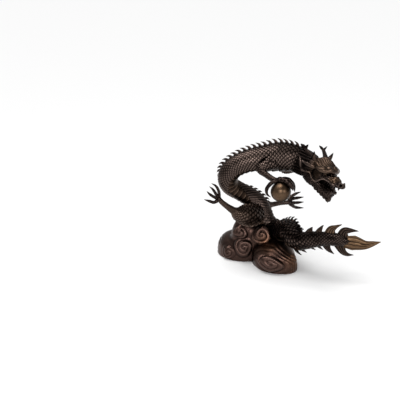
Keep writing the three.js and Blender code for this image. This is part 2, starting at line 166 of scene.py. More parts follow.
FAR_HIND_LEG = {
    "line": [(14, 30, 100, 15), (24, 44, 103, 9), (38, 60, 100, 5), (56, 74, 98, 4.2)],
    "palm": (75, 84, 96),
    "palm_radius": 5,
    "toes": [
        [(80, 90, 105), (91, 96, 111), (103, 100, 114)],
        [(83, 91, 101), (95, 98, 101), (110, 104, 101)],
        [(84, 90, 93), (96, 99, 90), (111, 106, 89)],
        [(83, 89, 88), (93, 97, 80), (111, 104, 76)],
    ],
    "scales": 9,
}
LEGS = [NEAR_FORELEG, FAR_FORELEG, NEAR_HIND_LEG, FAR_HIND_LEG]
WRIST_SHARE = 0.8
# How far from its poles a ball's rings begin, as a share of the way between them
POLE = 0.03
# A toe's radius from the palm to the tip, with its knuckles and its claw, and how little it is rubbed
TOE_RADII = (4.3, 3.7, 4.1, 3.4, 3.8, 3.2, 3.5, 2.9, 2.3, 1.4, 0.4)
ROD_COLUMNS = 10
TOE_ROWS = 24
FOOT_RELIEF = 0.22
# The crease over the near shoulder, with its radius at each point
CREASE = [
    (19, -66, 248, 0.3), (15, -67, 244.3, 1.2), (8, -67, 238, 2.3), (4.3, -66.5, 234.9, 2.5),
    (1, -65.4, 232.1, 1.8), (-4, -63.4, 228.7, 0.3),
]
CREASE_ROWS = 16

# The head's place and turn in degrees. Its own frame has x to the muzzle, y to the far cheek, z to the crown.
HEAD_AT = (120, -92, 234)
HEAD_YAW, HEAD_PITCH, HEAD_ROLL = 60, 20, 14
HEAD_CELL = 1.0
HEAD_BOX = ((-76, -64, -62), (68, 46, 26))
# Sections from the nape to the lip, and from the throat to the chin: x, middle z, half width, half height
UPPER_HEAD = [
    (-30, -15, 17, 13), (-20, -12, 19, 14), (-9, -5.5, 21.5, 17.5), (4, -5, 22.5, 16), (14, -5, 20.5, 13.5),
    (20.5, -6, 16.5, 10), (28, -11, 13.5, 7.5), (35, -11, 12, 8.5), (41, -10.5, 11.5, 8.5),
    (47, -12, 10.5, 5.5), (54, -9.5, 8.5, 5), (61, -7, 5, 4.4),
]
LOWER_JAW = [
    (-34, -31, 18, 18), (-14, -34, 20, 18), (8, -36, 16.5, 12.5), (26, -38, 13, 8.5), (39, -37, 11, 9.5),
    (47.5, -36, 7.5, 7.5),
]
# Balls, as a middle and a size: the mouth's inside, the nose, and what each side of the face has
MOUTH_INSIDE = (22, 0, -24), (25, 6.5, 10)
NOSE = (38, 0, -6), (6.5, 7, 6)
BROW_SWELL = (14.5, 12.5, -1), (9, 10.5, 6)
BROW_KNOB = (18, 6.5, 1.5), (8, 7.5, 7)
CHEEK = (4, 13, -19), (14, 9, 12)
MOUTH_CORNER = (34, 14, -24), (15, 9, 7.5)
EYE, PUPIL = ((20, 12.5, -8), 4.4), ((22.6, 15.8, -8.4), 1.4)
NOSTRIL, NOSTRIL_HOLE = ((41, 6.5, -8), (4.6, 4.2, 4.2)), ((45, 6.5, -9), 1.6)
# Lines of the face, as x, y, z and radius
BROW = [(24, 1, 0, 4), (20, 12, -1, 5), (12, 21, -3.5, 4.4), (3, 23.5, -5, 2.5)]
SOCKET = [(27, 8, -7, 3), (22, 16, -9, 4.6), (13, 22, -11, 3.6), (4, 25, -12, 2)]
SNARL = [
    [(41, 11, -11, 1.7), (33, 13, -9.5, 1.8), (25, 15.5, -11, 1.6), (18, 20, -15.5, 1)],
    [(36, 10.5, -6.5, 1.4), (29, 12.5, -6.5, 1.6), (22, 15.5, -13, 1)],
]
LIP = [(50, 9.5, -11.5, 2), (55, 8, -10, 2.2), (58.5, 4, -8.5, 2.4), (59.5, 0, -8, 2.6)]
JAW_RIM = [(47, 5, -29.5, 2), (38, 10.5, -30.5, 2), (26, 13, -31.5, 2), (14, 16, -32, 1.6), (4, 18, -33, 1)]
CHIN = [(44, 0, -38, 5), (46, 0, -46, 3.2), (46, 0, -53, 0.8)]
# What is added to or cut from each side of the face, in order, and how softly each blends in
ADD, CUT = 1, -1
FACE = [
    (ADD, BROW_SWELL, 3),
    (ADD, CHEEK, 3),
    (CUT, MOUTH_CORNER, 1),
    (CUT, SOCKET, 1.5),
    (ADD, BROW, 2),
    (ADD, BROW_KNOB, 1.5),
    (ADD, EYE, 0.5),
    (CUT, PUPIL, 0.4),
    *((ADD, line, 0.8) for line in SNARL),
    (ADD, NOSTRIL, 1.5),
    (CUT, NOSTRIL_HOLE, 0.8),
    (ADD, LIP, 1),
]
# The lip rolls up into a ring on each side of its tip: middle, facing, radius, thickness, and its hollow
RING_AT, RING_FACING, RING_RADIUS, RING_THICK = (56.8, 4.6, -6), (0.59, 0.73, 0.37), 3.7, 1.8
RING_POINTS, HOLLOW_OUT, HOLLOW_RADIUS = 9, 1.6, 2.8
# Teeth: how many on a side, first x, pitch, how far out, radii at root and tip; and for the upper and lower
# rows, how they close in, the root's z, the tip's z and its lean
TEETH, TOOTH_FROM, TOOTH_PITCH, TOOTH_OUT = 6, 24, 4.6, 11.5
TOOTH_ROOT, TOOTH_TIP = 1.9, 0.5
TOOTH_ROWS = [(0.5, -15, -21, -0.6), (0.9, -31, -25.5, 0.3)]
# Furrows up the brow dome, wrinkles across the nose, and curls of hair on the jaw and the throat: box, depth,
# pitch, sway, and fades as place and length
FURROW_BOX, FURROW_DEPTH, FURROW_PITCH = ((-16, -24, 0), (22, 24, 20)), 0.8, 4.6
FURROW_SWAY, FURROW_BEND = 0.9, 0.3
FURROWS_UP, FURROWS_FROM, FURROWS_TO = (0, 4), (-16, 6), (22, 8)
WRINKLE_BOX, WRINKLE_DEPTH, WRINKLE_PITCH, WRINKLE_BEND = ((24, -15, -14), (34, 15, 2)), 0.45, 3.4, 0.03
CURL_BOX, CURL_DEPTH, CURL_PITCH = ((-34, -24, -56), (52, 24, -30)), 1.1, 4.6
CURL_SWAY, CURL_BENDS, CURLS_BELOW = 1.3, (0.55, 0.47), (-30, 3)
# Ears, horns and whiskers
EAR_RIBS = [
    [(-4, 21, -8, 1.1), (-15, 29.5, -7.6, 1.2), (-26, 34, -11, 0.6)],
    [(-4, 21, -9.5, 1.6), (-15, 28.8, -9.7, 1.7), (-26, 33.5, -11, 0.6)],
    [(-4, 21, -11, 1.1), (-14, 29.5, -11.9, 1.2), (-26, 34, -11, 0.6)],
]
HORN_STEM = [(-18, 14, 0.5, 5.8), (-31, 20, 4, 4.1), (-42, 24, 6, 3.2)]
HORN_PRONGS = [[(-49, 24, 7, 4), (-56.5, 24, 7, 1.3)], [(-41, 24.5, 11.5, 2.8), (-39.5, 25, 17, 0.9)]]
FAR_PRONG_GIRTH = 0.72
SPUR = [(-14, 16.5, -1, 5.4), (-17, 22, 8, 3.5), (-19, 25, 16.5, 0.5)]
WHISKER = [
    (52, 8, -11.5, 1.5), (46, 11, -13, 1.4), (35, 12.5, -13.5, 1.4), (26, 15.5, -14.5, 1.4),
    (21, 19.5, -18.5, 1.4), (18, 22.5, -24.5, 1.4), (13, 24.5, -27.5, 1.4), (6, 25.5, -26, 1.4),
    (-2.5, 26, -21.5, 1.4),
]
# The near whisker trails on along the neck, and one fang shows below the lip on that side
WHISKER_TRAIL = [
    (-10, 27.5, -23, 1.4), (-16.5, 29, -26.5, 1.4), (-22, 31.5, -24.5, 1.4), (-27, 34.5, -16, 1.4),
    (-33, 36.5, -8, 1),
]
FANG = [(56, -5, -8, 2.4), (57, -5.3, -13, 1.8), (58, -5.5, -16.5, 0.6)]
# A lock of hair: strands, waves, side, and thickness and spread at shares of its length; then each kind's
# radius, spread and wave
LOCK_STRANDS, LOCK_WAVES, LOCK_SIDE = 3, 5, (0.3, -1.0, 0.2)
LOCK_FORM = ((0, 1, 0.9), (0.35, 1.1, 1), (0.7, 0.8, 0.7), (1, 0.25, 0.1))
MANE_LOCK, RUFF_LOCK, BEARD_LOCK = (2.3, 2.4, 1.6), (2.4, 3.2, 0.8), (1.9, 2.4, 0.6)
# The beard; the mane, between rings round the skull and the neck; the ruff, between two lengths of the spine
BEARD_LOCKS = 5
BEARD_FROM, BEARD_STEP, BEARD_FALL = (12, 10.5, -39.5), (7.6, -2, -1), (3, 0, -7.5)
MANE_LOCKS = 7
MANE_ROOT, MANE_ROOT_RADIUS = (-8, -3, -11), 17
MANE_TIP, MANE_TIP_RADIUS = (-43, -18, -24), 21.5
NEAR_MANE, FAR_MANE = (30, 128), (75, 140)
RUFF_LOCKS, RUFF_ANGLES, RUFF_ALONG, RUFF_LIFT = 8, (25, 140), (12, 46), 0.4
# Golden patches on the brow dome, the nose and the cheeks, where the nose's is partly a painted highlight:
# how golden, and the fades in and out along x, and in along z
HEAD_GOLD = [
    (0.3, (-16, 8), (30, 6), (-12, 8)),
    (0.45, (31, 4), (48, 4), (-12, 4)),
    (0.25, (-12, 4), (16, 4), (-30, 4)),
]
# How rubbed the head is: most of it, then between two x and two z: the mane, the jaw, the dome and the nose,
# where it is partly a painted highlight
HEAD_RELIEF = 0.25
RUBBED_AND_PAINTED_HIGHLIGHT = [
    (-np.inf, -16, -np.inf, np.inf, 0.1),
    (-12, np.inf, -np.inf, -28, 0.36),
    (-16, 28, -6, np.inf, 0.43),
    (31, np.inf, -9, np.inf, 0.42),
]
# On the brow line and the brow knobs, this is partly rubbing and partly a painted highlight
RUBBED_AND_HIGHLIGHT_LINES = [(BROW, 0.5), (HORN_STEM, 0.4), *((rib, 0.55) for rib in EAR_RIBS)]
WHISKER_RELIEF, KNOB_RELIEF = 0.6, 0.52
# How near a point is part of a line or a ball, how rubbed a form is that the painted shade in the mouth's
# corner spares, the knob's lowest z, and the inset of the ring's hollow, which is painted dark as shade
LINE_NEAR, BALL_NEAR, SPARED_FROM, KNOB_FROM, RING_INSET = 0.9, 0.8, 0.5, -4, 0.6
# How finely a strand and a loft are read between their points
STRAND_STEPS, LOFT_STEPS = 4, 6

# Tail fin lobes: X, Z and half the width at each point of a lobe's line, and how golden each is
FIN_PLANE_END = (245, -85)
FIN_LOBES = [
    ([(99, 80, 9), (102, 91, 5.5), (106, 99.5, 0.5)], 0.15),
    ([(116, 84, 8), (120, 96, 4.5), (126, 106.5, 0.5)], 0.2),
    ([(138, 86, 12), (141.5, 99, 8), (149, 105, 3.8), (160, 110.6, 0.5)], 0.6),
    ([(161, 83, 12), (166, 97, 8.5), (176, 99, 5), (192, 98, 0.5)], 0.1),
    ([(73, 54, 5), (80, 42, 3.5), (88.5, 36.6, 0.5)], 0),
    ([(84, 56, 5), (90, 48.5, 3.5), (97.5, 43.8, 0.5)], 0),
    ([(100, 62, 5), (106, 56.5, 3), (114, 52, 0.5)], 0),
    ([(114, 67, 6), (120, 60, 3), (127.7, 54.7, 0.5)], 0),
    ([(131, 70, 9), (138, 56.5, 5), (148.6, 48, 0.5)], 0),
    ([(157, 70, 11), (165, 54.5, 6.5), (173.5, 49, 4), (185.6, 48, 0.5)], 0.1),
    ([(160, 76, 11), (184, 73.3, 15.6), (206, 69.6, 9.5), (222, 73, 5.4), (236, 77, 0.5)], 1),
]
FIN_EDGE, FIN_SWELL = 0.8, 0.24
FIN_COLUMNS, FIN_ROWS = 44, 8
# Grooves along a lobe: how many on each half, depth, sharpness, and how much darker they are
FIN_GROOVES, GROOVE_DEPTH, GROOVE_SHARP, GROOVE_SHADE = 2, 0.5, 4, 0.6
# How rubbed a dark and a golden lobe are, how fast that drops to the edge, and the least of it
FIN_RELIEF, EDGE_DROP, EDGE_LEAST = (0.42, 0.62), 3, 0.2

# The plinth: boulders of cloud as centre, size, height and turn; scrolls as centre, size, facing, how many
# times their bands turn, how far they taper to a point on the right, and how far out their bands ripple on
BOULDERS = [
    ((-20, 44), (55, 52), 44, -12),
    ((38, -12), (43, 56), 46, 14),
    ((57, -43), (26, 25), 36, 0),
    ((6, 30), (38, 34), 74, 0),
    ((-22, 26), (27, 25), 80, 0),
]
BOULDER_POWER = 3.2
SCROLLS = [
    ((-52, 8, 16), (15, 15), (-0.35, -0.9, 0.2), 2, 0, 1.35),
    ((-22, 0, 29), (21, 21), (-0.1, -0.95, 0.3), 2.3, 0, 1.3),
    ((-31, 9.5, 58), (17, 13), (-0.25, -0.85, 0.5), 1.6, 0, 1.3),
    ((13, -2, 57), (20.5, 20.5), (-0.05, -0.9, 0.45), 1.9, 0, 1.35),
    ((28, -63, 22), (29, 17), (-0.25, -0.95, 0.3), 2, 0.55, 2.9),
]
# Plainer scrolls, only carved, on the sides that are hidden
PLAIN_SCROLLS = [
    ((-72, 52, 20), (17, 15), (-0.95, 0.2, 0.2), 2, 0, 1.5),
    ((-34, 94, 19), (19, 15), (-0.25, 0.95, 0.2), 2, 0, 1.5),
    ((20, 86, 18), (16, 14), (0.6, 0.8, 0.2), 2, 0, 1.5),
    ((6, 63, 50), (17, 15), (0.1, 0.95, 0.4), 2, 0, 1.4),
    ((80, 2, 20), (18, 15), (0.95, 0.25, 0.2), 2, 0, 1.5),
]
# Scrolls: how far they stand out, their bands' depth, sharpness and waver, and how a pointed one narrows
SCROLL_DEPTH, SCROLL_BAND = 9, 1.8
BAND_SHARP, SCROLL_WAVER, SCROLL_WAVES = 0.7, 0.05, 3
POINT_SLANT, POINT_TO, SCROLL_MARGIN = 0.45, 1.5, 1.2
# Ripples: depth, the reach where a scroll's and a plain scroll's begin, and how they fade
RIPPLE, RIPPLES_FROM, CARVED_FROM = 1.1, 0.9, -0.15
RIPPLE_IN, RIPPLE_OUT, RIPPLE_DEEP = 0.15, 0.5, 5
# Flutes down the corner boulder: how many in a full round, depth, angles, and fades
CORNER_BOULDER = 2
FLUTES, FLUTE_DEPTH, FLUTES_FROM, FLUTES_TO = 26, 1.5, -1.25, 0.6
FLUTE_FADE, FLUTE_TOP, FLUTE_MARGIN = 0.3, 6, 2
PLINTH_CELL = 1.2
PLINTH_BOX = ((-80, -84, -4), (90, 102, 86))
# Room in the plinth round the body and the hind legs, and how many readings of the spine one step takes
BODY_ROOM, LEG_ROOM, BODY_STEP = 1.8, 2.2, 6
# Where the plinth is redder, how far that spreads, how red it is, and how rubbed the plinth is
RED_SPOTS, RED_MOST = [((26, -26, 46), 24), ((76, -50, 26), 24)], 0.7
PLINTH_RELIEF = 0.45

# Finish: the side of the pearl given painted light, its far side painted shade; how sharp an edge stays crisp;
# and how much ridges are worn
PEARL_LIT_SIDE = (-0.62, -0.76, 0.1)
SHARP_FROM = 42
RIDGE_WEAR = 1.3
# The three bronzes: the colour in hollows, between, on ridges and where golden, and the roughness
BRONZES = {
    "dragon_bronze": (
        (0.002, 0.0014, 0.0013), (0.021, 0.0145, 0.0125), (0.138, 0.1, 0.084), (0.102, 0.061, 0.034), 0.33),
    "pearl_bronze": (
        (0.003, 0.0015, 0.001), (0.023, 0.012, 0.0072), (0.115, 0.072, 0.044), (0.102, 0.061, 0.034), 0.32),
    "plinth_bronze": (
        (0.005, 0.0026, 0.0022), (0.044, 0.025, 0.0205), (0.2, 0.128, 0.105), (0.105, 0.048, 0.023), 0.32),
}
# The colour sockets of a mix node
MIX_FIRST, MIX_SECOND, MIX_RESULT = 6, 7, 2
# Where the hollow, middle and ridge colours sit on the scale of wear and painted light, plain and golden, and
# how much lighter a golden ridge is
PATINA_STOPS, GOLDEN_STOPS, GOLDEN_RIDGE = (0.06, 0.4, 0.95), (0.06, 0.45, 0.95), 1.8


def through(points, stations):
    """The centripetal curve through points, read at stations that count the points from 0."""
    ends = 2 * points[0] - points[1], 2 * points[-1] - points[-2]
    line = np.vstack([ends[0], points, ends[1]])
    index = np.minimum(stations.astype(int), len(points) - 2)
    t = (stations - index)[:, None]
    p0, p1, p2, p3 = (line[index + k] for k in range(4))
    d0, d1, d2 = (np.sqrt(np.linalg.norm(b - a, axis=1))[:, None] for a, b in ((p0, p1), (p1, p2), (p2, p3)))
    m1 = d1 * ((p1 - p0) / d0 - (p2 - p0) / (d0 + d1)) + p2 - p1
    m2 = d1 * ((p3 - p2) / d2 - (p3 - p1) / (d1 + d2)) + p2 - p1
    return p1 + t * (m1 + t * (3 * (p2 - p1) - 2 * m1 - m2 + t * (2 * (p1 - p2) + m1 + m2)))


def unit(vectors):
    return vectors / np.linalg.norm(vectors, axis=-1, keepdims=True)


def rows_at(along, lengths, rows):
    return np.stack([np.interp(along, lengths, column) for column in rows.T], axis=-1)


class Line:
    """A smooth line through points, with a radius, a crest direction and a side direction along it."""

    STEPS = 24

    def __init__(self, points, radii, crests=None):
        points = np.array(points, float)
        count = len(points)
        stations = np.linspace(0, count - 1, (count - 1) * self.STEPS + 1)
        self.spots = through(points, stations)
        steps = np.linalg.norm(np.diff(self.spots, axis=0), axis=1)
        self.lengths = np.concatenate([[0], np.cumsum(steps)])
        self.length = self.lengths[-1]
        self.radii = np.interp(stations, range(count), radii)
        self.onward = unit(np.gradient(self.spots, self.lengths, axis=0))
        if crests is None:
            self.crests = self.carried()
        else:
            self.crests = rows_at(stations, range(count), np.array(crests, float))
        self.crests = unit(self.crests - self.onward * (self.crests * self.onward).sum(1, keepdims=True))

    def carried(self):
        """A direction square to the line that turns no more than the line does."""
        start = np.eye(3)[np.argmin(np.abs(self.onward[0]))]
        found = []
        for onward in self.onward:
            start = unit(start - onward * (start @ onward))
            found.append(start)
        return np.array(found)

    def read(self, along):
        """Spots, crests and sides at lengths along the line."""
        spots, crests, onward = (
            rows_at(along, self.lengths, rows) for rows in (self.spots, self.crests, self.onward))
        return spots, crests, np.cross(onward, crests)

    def radius(self, along):
        return np.interp(along, self.lengths, self.radii)


def line_of(points):
    """A line through points that are x, y, z and the radius there."""
    return Line([p[:3] for p in points], [p[3] for p in points])


def new_object(name, spots, faces, tone, relief):
    """A mesh object, turned so that its faces look out.

    Tone says how golden the bronze is at each point, and relief how rubbed it is: 0 in a hollow, 1 on a tip.
    In places relief also holds painted light and shade, and tone a painted highlight on the nose.
    """
    spots = np.asarray(spots, float)
    halves = [face[:3] for face in faces] + [[face[0], *face[2:]] for face in faces if len(face) == 4]
    corners = spots[halves]
    if np.einsum("ij,ij->", corners[:, 0], np.cross(corners[:, 1], corners[:, 2])) < 0:
        faces = [face[::-1] for face in faces]
    mesh = bpy.data.meshes.new(name)
    mesh.from_pydata((spots * METRES).tolist(), [], faces)
    for label, values in (("tone", tone), ("relief", relief)):
        values = np.broadcast_to(np.asarray(values, np.float32), len(spots))
        mesh.attributes.new(label, "FLOAT", "POINT").data.foreach_set("value", np.ascontiguousarray(values))
    made = bpy.data.objects.new(name, mesh)
    bpy.context.scene.collection.objects.link(made)
    return made


def read_points(items, label, size):
    found = np.zeros(len(items) * size)
    items.foreach_get(label, found)
    return found.reshape(-1, size)


def tube(name, rings, tone=0.0, relief=0.5):
    """A closed tube through rings of points, shaped rows by columns by 3."""
    rows, columns, _ = rings.shape
    spots = np.vstack([rings.reshape(-1, 3), rings[0].mean(0), rings[-1].mean(0)])
    first, last = rows * columns, rows * columns + 1
    here = np.arange(rows * columns).reshape(rows, columns)
    after = np.roll(here, -1, axis=1)
    faces = np.stack([here[:-1], after[:-1], after[1:], here[1:]], axis=-1).reshape(-1, 4).tolist()
    for a, b, c, d in zip(here[0].tolist(), after[0].tolist(), here[-1].tolist(), after[-1].tolist()):
        faces += [[first, b, a], [last, c, d]]

    def spread(values):
        values = np.broadcast_to(np.asarray(values, float), (rows, columns))
        return np.concatenate([values.ravel(), [values[0].mean(), values[-1].mean()]])

    return new_object(name, spots, faces, spread(tone), spread(relief))


def combine(whole, part, operation="UNION"):
    """Joins part to whole, or cuts it from whole, and leaves one object."""
    step = whole.modifiers.new(operation, "BOOLEAN")
    step.solver, step.operation, step.object = "MANIFOLD", operation, part
    bpy.context.view_layer.update()
    graph = bpy.context.evaluated_depsgraph_get()
    old, made = whole.data, bpy.data.meshes.new_from_object(whole.evaluated_get(graph))
    whole.modifiers.clear()
    whole.data = made
    bpy.data.meshes.remove(old)
    bpy.data.objects.remove(part)
    return whole


def joined(parts):
    whole = parts[0]
    for part in parts[1:]:
        combine(whole, part)
    return whole


def scaled_skin(name, line, scales, share, uneven, start=0, end=None, tone=0.0, lift=0.0):
    """A tube covered in overlapping scales, with plates across the share of its girth that has none."""
    end = line.length if end is None else end
    fine = np.linspace(start, end, int(end - start) * READINGS_PER_MM)
    width = 2 * np.pi * line.radius(fine) * share / scales
    pitch = np.maximum(SCALE_ROW * width, LEAST_ROW)
    counted = np.concatenate([[0], np.cumsum(np.diff(fine) / ((pitch[1:] + pitch[:-1]) / 2))])
    across = np.arange(scales * SCALE_COLUMNS + (share < 1)) / SCALE_COLUMNS
    angles = (2 * across / scales - 1) * share * np.pi
    belly = np.linspace(share, 2 - share, BELLY_COLUMNS + 2)[1:-1] * np.pi if share < 1 else np.empty(0)
    turns = np.concatenate([angles, belly])
    rings, reliefs = [], []

    def ring(place, rise, relief):
        along = np.interp(place, counted, fine)
        spots, crests, sides = line.read(along)
        reach = (line.radius(along) + rise)[:, None]
        rings.append(spots + reach * (sides * np.sin(turns)[:, None] + crests * np.cos(turns)[:, None]))
        reliefs.append(relief)

    def level(scale_values, belly_value):
        return np.concatenate([scale_values, np.full(len(belly), belly_value)])

    flat, none = np.zeros(len(across)), np.zeros(len(turns))
    ring(none, none, none)
    for row in range(int(counted[-1])):
        from_tip = (across - 0.5 * (row % 2) + 0.5) % 1 - 0.5
        arc = np.sqrt(np.maximum(1 - (2 * from_tip) ** 2, 0))
        place = np.round(across - 0.5 * (row % 2) - from_tip)
        shade = 1 + uneven * np.sin(SHADE_BY_ROW * row + SHADE_BY_PLACE * place)
        lip = level(row + SCALE_TIP * arc, row + 0.5)
        size = np.interp(lip, counted, width)
        plate = (row % BELLY_ROWS + 1) / BELLY_ROWS
        after = plate % 1
        raised = level(SCALE_CORNER + (1 - SCALE_CORNER) * arc, 0) * SCALE_RISE * size
        # Painted light, where a leg has it, lightens the scales and the ground between them
        rubbed = level(lift + (1 - lift) * shade * arc ** 2, BELLY_RELIEF * (BELLY_LEAST + plate))
        ring(lip, raised + level(flat, BELLY_RISE * plate), rubbed)
        ring(lip + SCALE_EDGE, level(flat, BELLY_RISE * after), level(flat + lift, BELLY_RELIEF * after))
    ring(none + counted[-1], none, none)
    tones = level(flat + tone, BELLY_TONE)
    return tube(name, np.array(rings), np.tile(tones, (len(rings), 1)), np.array(reliefs))


def flame(name, points, axes, base, thick, rubbed, rows, columns, grooves=0, tone=0.0):
    """A flat pointed lobe, lens-shaped in section, with grooves along it.

    Its points give places along the first and last axes, from base, and half widths; thick turns those into
    half thicknesses.
    """
    onward, side, crest = axes
    line = line_of([(x, 0, z, width) for x, z, width in points])
    along = np.linspace(0, line.length, rows)
    places, run = (rows_at(along, line.lengths, values) for values in (line.spots, line.onward))
    spots = base + places[:, :1] * onward + places[:, 2:] * crest
    across = run[:, 2:] * onward - run[:, :1] * crest
    widths = line.radius(along)
    angle = 2 * np.pi * (np.arange(columns) + 0.5) / columns
    reach, rise = np.cos(angle), np.sin(angle)
    groove = (0.5 - 0.5 * np.cos(2 * np.pi * grooves * reach)) ** GROOVE_SHARP
    wide = across[:, None] * (widths[:, None] * reach)[..., None]
    deep = side * (thick(widths)[:, None] * rise * (1 - GROOVE_DEPTH * groove))[..., None]
    relief = rubbed * (1 - GROOVE_SHADE * groove) * np.clip(EDGE_DROP * np.abs(rise), EDGE_LEAST, 1)
    return tube(name, spots[:, None] + wide + deep, tone, np.tile(relief, (rows, 1)))


spine = Line(*zip(*SPINE))


def crest_spike(along, height):
    spot, crest, side = (x[0] for x in spine.read(np.array([along])))
    points = [(x * CREST_WIDTH, max(z * height, -CREST_ROOT), w * CREST_WIDTH) for x, z, w in CREST_LINE]
    return flame(
        "spike", points, (np.cross(crest, side), side, crest), spot + crest * spine.radius(along),
        lambda w: CREST_THICK * np.sqrt(w / w[0]), CREST_RELIEF, rows=9, columns=12)


def crest():
    """Spikes at even steps of the ridge line, which lies out from the spine by the body's radius."""
    ridge = spine.spots + spine.crests * spine.radii[:, None]
    lengths = np.concatenate([[0], np.cumsum(np.linalg.norm(np.diff(ridge, axis=0), axis=1))])
    first, last = np.interp(np.array(CREST_SPAN) * spine.length, spine.lengths, lengths)
    count = round((last - first) / CREST_PITCH)
    spikes = []
    for share in np.linspace(0, 1, count + 1):
        height = np.interp(share, np.linspace(0, 1, len(CREST_HEIGHTS)), CREST_HEIGHTS)
        spikes.append(crest_spike(np.interp(first + share * (last - first), lengths, spine.lengths), height))
    return spikes


def rod(name, line, radii, relief):
    """A round rod along a line, with its radii at even steps from end to end."""
    centres, crests, sides = line.read(np.linspace(0, line.length, len(radii)))
    angle = 2 * np.pi * np.arange(ROD_COLUMNS) / ROD_COLUMNS
    round_about = crests[:, None] * np.cos(angle)[:, None] + sides[:, None] * np.sin(angle)[:, None]
    return tube(name, centres[:, None] + radii[:, None, None] * round_about, 0, relief)


def toe(palm, points, girth):
    """One clawed toe from the palm over its knuckles to its tip."""
    line = Line([palm, *points], np.zeros(len(points) + 1))
    radii = np.interp(np.linspace(0, 1, TOE_ROWS), np.linspace(0, 1, len(TOE_RADII)), TOE_RADII)
    return rod("toe", line, girth * radii, FOOT_RELIEF)


def crease():
    line = line_of(CREASE)
    return rod("crease", line, line.radius(np.linspace(0, line.length, CREASE_ROWS)), 0)


def ball_object(name, at, radius, columns, rows, relief=0.5):
    angle = 2 * np.pi * np.arange(columns) / columns
    fall = np.linspace(POLE, 1 - POLE, rows) * np.pi
    ring = np.stack([np.cos(angle), np.sin(angle), 0 * angle], axis=1)
    rings = np.sin(fall)[:, None, None] * ring + np.cos(fall)[:, None, None] * np.array([0, 0, 1.0])
    return tube(name, np.array(at) + radius * rings, 0, relief)


def leg(line, palm, palm_radius, toes, scales, girths=(1, 1, 1, 1), tone=0.0, lift=0.0):
    bone = line_of([*line, (*palm, palm_radius * WRIST_SHARE)])
    skin = scaled_skin("leg", bone, scales, 1, BODY_SHADE, tone=tone, lift=lift)
    hand = ball_object("hand", palm, palm_radius, columns=16, rows=9, relief=FOOT_RELIEF)
    return joined([skin, hand, *(toe(palm, points, girth) for points, girth in zip(toes, girths))])


def fin_y(x):
    plan = [s[0][:2] for s in SPINE[TAIL_FROM:]] + [FIN_PLANE_END]
    return np.interp(x, [p[0] for p in plan], [p[1] for p in plan])


def fin_lobe(points, tone):
    lobe = flame(
        "lobe", points, np.eye(3), np.zeros(3), lambda w: FIN_EDGE + FIN_SWELL * w,
        np.interp(tone, (0, 1), FIN_RELIEF), FIN_ROWS * (len(points) - 1) + 1, FIN_COLUMNS, FIN_GROOVES, tone)
    places = read_points(lobe.data.vertices, "co", 3)
    places[:, 1] += fin_y(places[:, 0] / METRES) * METRES
    lobe.data.vertices.foreach_set("co", places.ravel())
    return lobe


class Clay:
    """A lump of clay, kept as distances on a grid, that forms are pressed on to or cut from."""

    FAR = 60.0

    def __init__(self, box, cell):
        self.low, self.cell = np.array(box[0], float), cell
        self.counts = np.ceil((np.array(box[1]) - self.low) / cell).astype(int) + 1
        self.field = np.full(self.counts, self.FAR, np.float32)

    def window(self, low, high, margin):
        first = np.floor((np.array(low) - margin - self.low) / self.cell).astype(int)
        last = np.ceil((np.array(high) + margin - self.low) / self.cell).astype(int) + 1
        spans = [slice(max(a, 0), min(b, n)) for a, b, n in zip(first, last, self.counts)]
        axes = [o + self.cell * np.arange(s.start, s.stop) for o, s in zip(self.low, spans)]
        return tuple(spans), np.meshgrid(*axes, indexing="ij", sparse=True)

    def press(self, form, blend, sign=ADD):
        """Adds a form to the lump, or cuts it away, and rounds the joint by blend."""
        low, high, distance = form
        spans, spots = self.window(low, high, 2 * blend + 3 * self.cell)
        old, new = sign * self.field[spans], distance(*spots)
        near = np.maximum(blend - np.abs(old - new), 0) / blend
        self.field[spans] = sign * (np.minimum(old, new) - near * near * blend / 4)

    def carve(self, low, high, depth):
        """Lowers the surface by what depth gives, in the box from low to high."""
        spans, spots = self.window(low, high, 0)
        self.field[spans] += depth(*spots)

    def object(self, name, turn, at, tone, relief):
        """The lump as a mesh, turned and placed; tone and relief are read at its own spots."""
        grid = openvdb.FloatGrid(self.FAR)
        grid.copyFromArray(self.field)
        spots, quads = grid.convertToQuads(0.0)
        spots = self.low + self.cell * np.asarray(spots, float)
        placed = spots @ np.array(turn).T + np.array(at)
        return new_object(name, placed, quads.tolist(), tone(*spots.T), relief(*spots.T))


def ball(at, size):
    at, size = np.array(at, float), np.broadcast_to(np.array(size, float), 3)

    def distance(*spot):
        parts = [(p - a) / s for p, a, s in zip(spot, at, size)]
        near = np.sqrt(sum(p * p for p in parts))
        return near * (near - 1) / (np.sqrt(sum((p / s) ** 2 for p, s in zip(parts, size))) + 1e-6)

    return at - size, at + size, distance


def strand(points, steps=STRAND_STEPS):
    """A round tapering strand; each point is x, y, z and the radius there."""
    rows = np.array(points, float)
    stations = np.linspace(0, len(rows) - 1, (len(rows) - 1) * steps + 1)
    spots, radii = through(rows[:, :3], stations), np.interp(stations, range(len(rows)), rows[:, 3])

    def distance(*spot):
        best = None
        for a, b, first, last in zip(spots[:-1], spots[1:], radii[:-1], radii[1:]):
            run = b - a
            share = sum((p - s) * r for p, s, r in zip(spot, a, run)) / (run @ run)
            share = np.clip(share, 0, 1)
            gap = np.sqrt(sum((p - s - share * r) ** 2 for p, s, r in zip(spot, a, run)))
            gap = gap - first - share * (last - first)
            best = gap if best is None else np.minimum(best, gap)
        return best

    reach = radii.max()
    return spots.min(0) - reach, spots.max(0) + reach, distance


